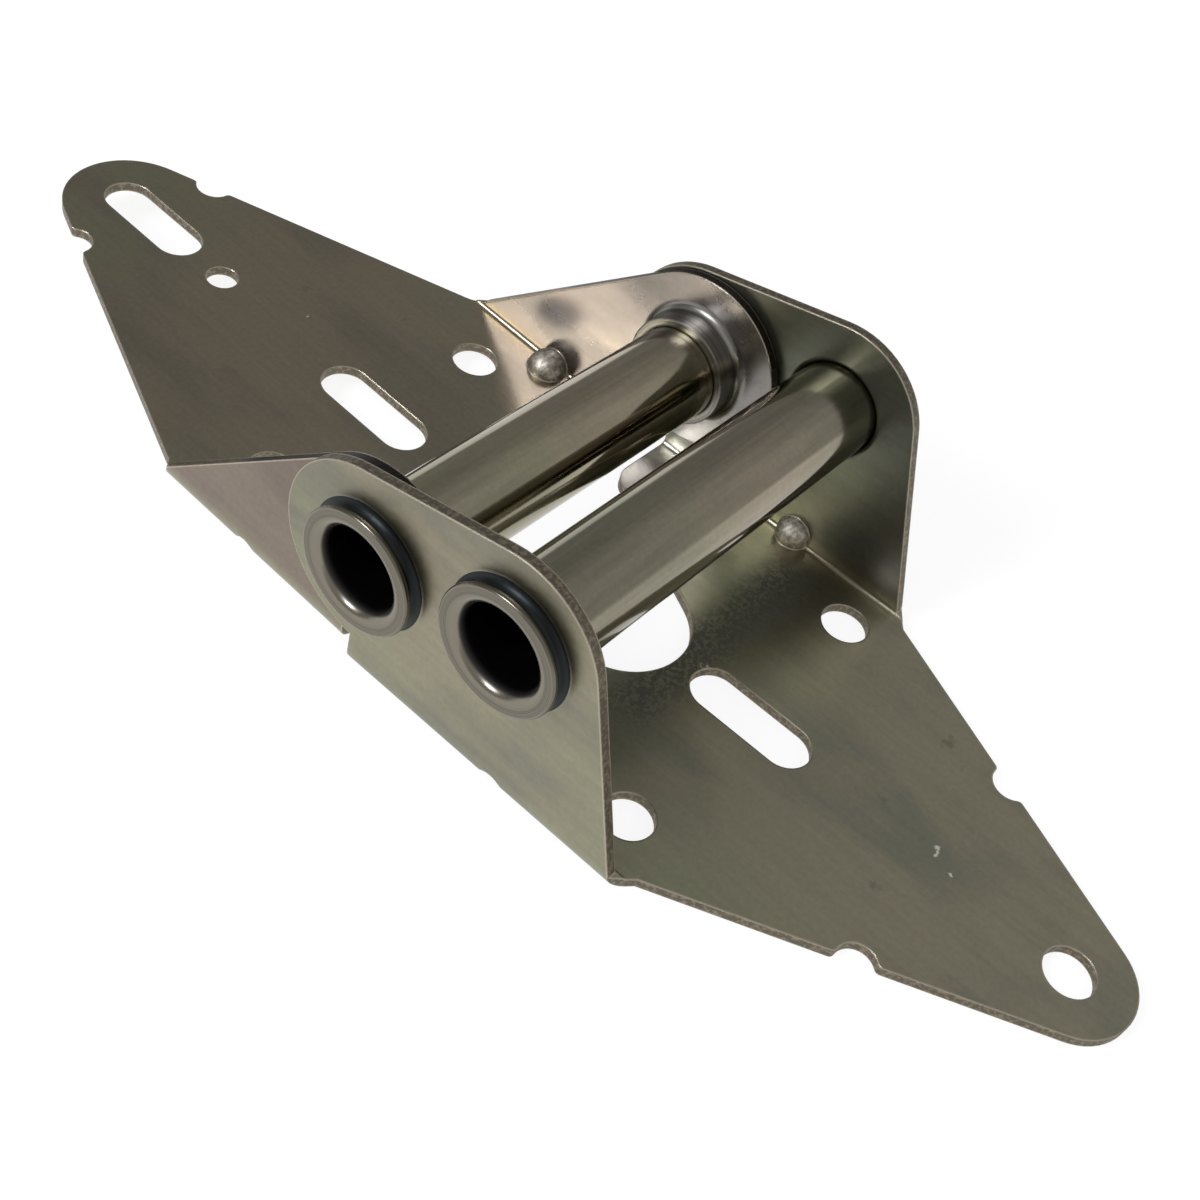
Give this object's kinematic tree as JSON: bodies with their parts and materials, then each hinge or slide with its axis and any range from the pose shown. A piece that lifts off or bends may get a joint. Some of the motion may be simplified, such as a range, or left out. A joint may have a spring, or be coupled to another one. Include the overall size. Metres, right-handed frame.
{
  "type": "garage door hinge",
  "caption": "Folded sheet-steel leaves with nested upright ears that swing about a rolled pivot tube, beside a second tube that takes a track roller's stem.",
  "frame": {"origin": "middle of the pivot axis, which is the centre of the pivot tube's bore", "axes": "+X along the pivot axis, +Y to the tip of the plain leaf, +Z away from the door; the roller leaf's underside, the face that meets the door, is 19.2 mm below the origin"},
  "size_m": [0.072, 0.1939, 0.0379],
  "materials": {
    "zinc_plated_sheet": "dull zinc plate on rolled sheet, with soft olive and brown bands",
    "zinc_plated_tube": "dull zinc plate on drawn tube, with fine lines along it"
  },
  "bodies": {
    "roller_side": {"roller_leaf": "zinc_plated_sheet", "pivot_tube": "zinc_plated_tube", "roller_tube": "zinc_plated_tube"},
    "plain_side": {"plain_leaf": "zinc_plated_sheet"}
  },
  "joints": [
    {"name": "leaf_swing", "type": "hinge", "parent": "roller_side", "child": "plain_side", "pos_m": [0, 0, 0], "axis": [1, 0, 0], "range_deg": [-7.9, 135]}
  ]
}
